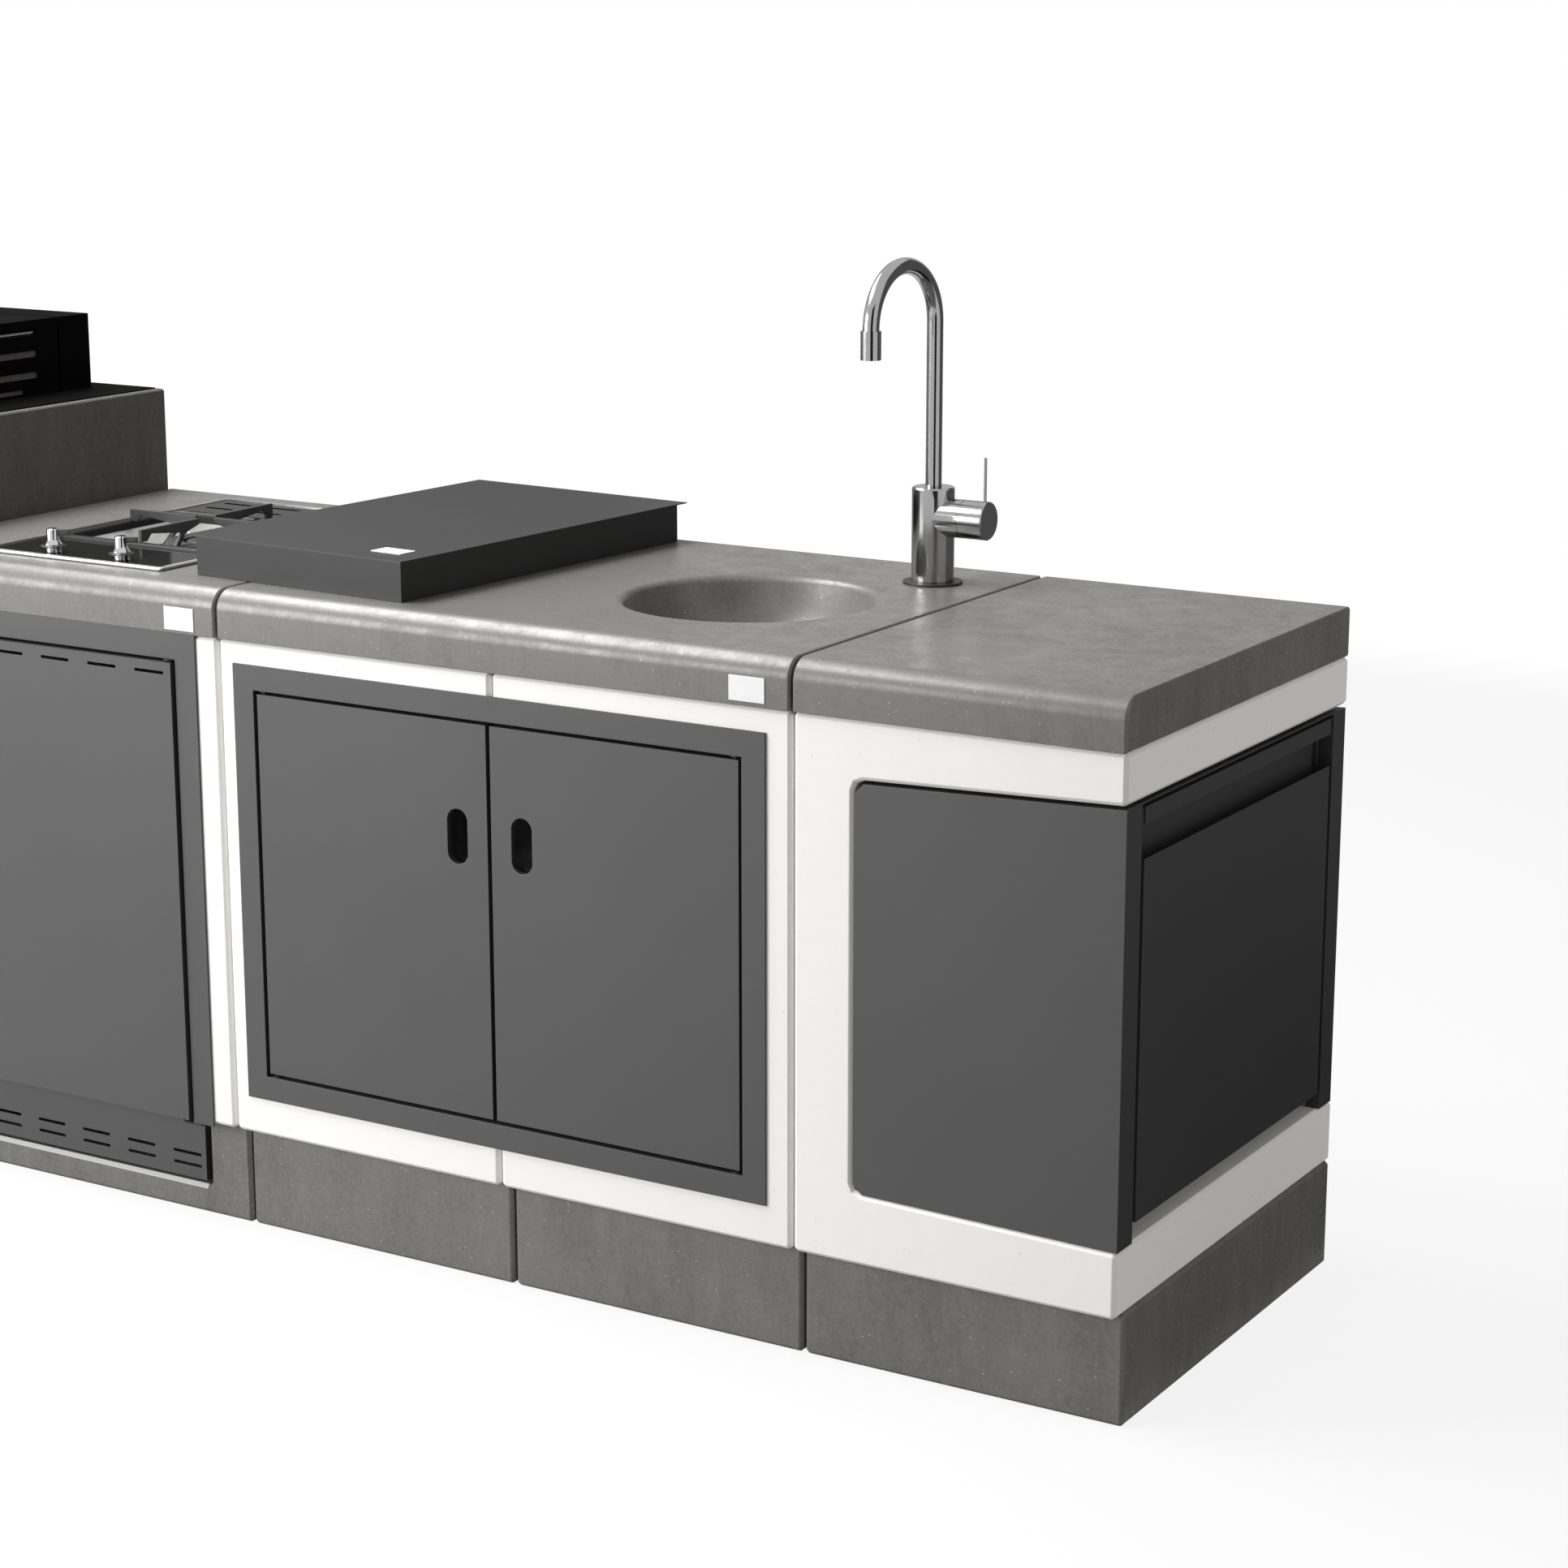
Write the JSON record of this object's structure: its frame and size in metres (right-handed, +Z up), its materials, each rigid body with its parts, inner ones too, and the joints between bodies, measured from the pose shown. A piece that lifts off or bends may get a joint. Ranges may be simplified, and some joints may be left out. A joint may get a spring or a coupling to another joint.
{
  "type": "outdoor kitchen unit",
  "caption": "Row of concrete outdoor kitchen modules with a covered gas hob, a round sink with a tall tap, a raised grill, steel doors and a side drawer",
  "frame": {"origin": "centre of the footprint's bounding box, on the ground", "axes": "+X to the right along the row as seen from the front, +Y to the back, +Z up"},
  "size_m": [2.667, 0.7098, 1.3494],
  "materials": {
    "grey_concrete": "smooth cast grey concrete with fine pores, sealed, soft sheen",
    "dark_concrete": "dark tinted cast concrete, matt, fine pores",
    "white_concrete": "white cast concrete, smooth and matt",
    "grey_steel": "fine satin grey powder coat on sheet steel",
    "galvanised_steel": "bright sheet steel with a fine brushed grain",
    "black_steel": "matt black heat-resistant coat on sheet steel",
    "firebrick": "dry pale firebrick, matt and slightly rough",
    "chrome": "mirror-bright chrome plate",
    "polished_steel": "mirror-polished stainless sheet",
    "cast_iron": "matt grey-black enamelled cast iron",
    "burner_alloy": "cast light alloy, matt",
    "valve_brass": "plain machined brass",
    "black_plastic": "glossy black base ring",
    "white_plastic": "plain white moulded trap"
  },
  "bodies": {
    "row": {"plinth_corner": "grey_concrete", "plinth_sink_right": "grey_concrete", "plinth_sink_left": "grey_concrete", "plinth_hob": "grey_concrete", "plinth_grill": "grey_concrete", "worktop_corner": "grey_concrete", "worktop_sink": "grey_concrete", "worktop_hob": "grey_concrete", "grill_surround": "dark_concrete", "frame_corner": "white_concrete", "frame_sink_right": "white_concrete", "frame_sink_left": "white_concrete", "frame_hob": "white_concrete", "frame_grill": "white_concrete", "sink_front_plate": "grey_steel", "vented_front_plates": "grey_steel", "vented_aprons": "grey_steel", "corner_cabinet": "grey_steel", "sink_liner": "galvanised_steel", "sink_shelf": "galvanised_steel", "cabinet_walls": "galvanised_steel", "back_panels": "galvanised_steel", "hob_tray": "galvanised_steel", "runner_fixed": "galvanised_steel", "door_hinges": "galvanised_steel", "sink_drain": "galvanised_steel", "grill_top_plate": "black_steel", "hood_housing": "black_steel", "grill_firebox": "black_steel", "grill_firebricks": "firebrick", "tap_body": "chrome", "hob_rim": "polished_steel", "hob_top_sheet": "polished_steel", "hob_burner_pan": "polished_steel", "hob_burner_caps": "cast_iron", "hob_burner": "burner_alloy", "hob_gas_valves": "valve_brass", "tap_shank": "valve_brass", "tap_flange": "black_plastic", "drain_trap": "white_plastic"},
    "left_door_leaf": {"sink_door_left": "grey_steel"},
    "right_door_leaf": {"sink_door_right": "grey_steel"},
    "hob_door_leaf": {"hob_door": "grey_steel"},
    "grill_door_leaf": {"grill_door": "grey_steel"},
    "left_knob": {"hob_knob_left": "chrome"},
    "right_knob": {"hob_knob_right": "chrome"},
    "loose_pan_support": {"hob_pan_support": "cast_iron"},
    "loose_cover": {"hob_cover": "grey_steel"},
    "loose_grate": {"grill_grate": "chrome"},
    "hood": {"grill_hood": "black_steel", "hood_handle": "chrome"},
    "spout": {"tap_spout": "chrome", "tap_aerator": "chrome"},
    "handle": {"tap_handle": "chrome", "tap_lever": "chrome"},
    "drawer": {"drawer_front": "grey_steel", "drawer_grip": "grey_steel", "drawer_box": "galvanised_steel", "runner_drawer": "galvanised_steel"},
    "middle_runner": {"runner_middle": "galvanised_steel"}
  },
  "joints": [
    {"name": "sink_door_left_swing", "type": "hinge", "parent": "row", "child": "left_door_leaf", "pos_m": [0.0592, -0.34043, 0.5065], "axis": [0, 0, -1], "range_deg": [0, 100]},
    {"name": "sink_door_right_swing", "type": "hinge", "parent": "row", "child": "right_door_leaf", "pos_m": [0.8012, -0.34043, 0.5065], "axis": [0, 0, 1], "range_deg": [0, 100]},
    {"name": "hob_door_swing", "type": "hinge", "parent": "row", "child": "hob_door_leaf", "pos_m": [-0.101, -0.34693, 0.475], "axis": [0, 0, 1], "range_deg": [0, 95]},
    {"name": "grill_door_swing", "type": "hinge", "parent": "row", "child": "grill_door_leaf", "pos_m": [-0.761, -0.34693, 0.475], "axis": [0, 0, 1], "range_deg": [0, 95]},
    {"name": "hob_knob_left_turn", "type": "hinge", "parent": "row", "child": "left_knob", "pos_m": [-0.392, -0.25093, 0.92], "axis": [0, 0, 1], "range_deg": [0, 210]},
    {"name": "hob_knob_right_turn", "type": "hinge", "parent": "row", "child": "right_knob", "pos_m": [-0.265, -0.25093, 0.92], "axis": [0, 0, 1], "range_deg": [0, 210]},
    {"name": "pan_support_lift", "type": "slide", "parent": "row", "child": "loose_pan_support", "axis": [0, 0, 1], "range_m": [0, 0.12]},
    {"name": "cover_lift", "type": "slide", "parent": "row", "child": "loose_cover", "axis": [0, 0, 1], "range_m": [0, 0.3]},
    {"name": "grate_lift", "type": "slide", "parent": "row", "child": "loose_grate", "axis": [0, 0, 1], "range_m": [0, 0.01]},
    {"name": "hood_swing", "type": "hinge", "parent": "row", "child": "hood", "pos_m": [-1.005, 0.18607, 1.178], "axis": [-1, 0, 0], "range_deg": [0, 75]},
    {"name": "spout_turn", "type": "hinge", "parent": "row", "child": "spout", "pos_m": [0.7805, 0.19657, 1.039], "axis": [0, 0, 1], "range_deg": [-90, 90]},
    {"name": "handle_turn", "type": "hinge", "parent": "row", "child": "handle", "pos_m": [0.8285, 0.19657, 0.9985], "axis": [1, 0, 0], "range_deg": [0, 90]},
    {"name": "drawer_pull", "type": "slide", "parent": "row", "child": "drawer", "axis": [1, 0, 0], "range_m": [0, 0.3]},
    {"name": "middle_runner_slide", "type": "slide", "parent": "row", "child": "middle_runner", "axis": [1, 0, 0], "range_m": [0, 0.15]}
  ],
  "couplings": [
    {"joint": "middle_runner_slide", "follows": "drawer_pull", "ratio": 0.5}
  ]
}
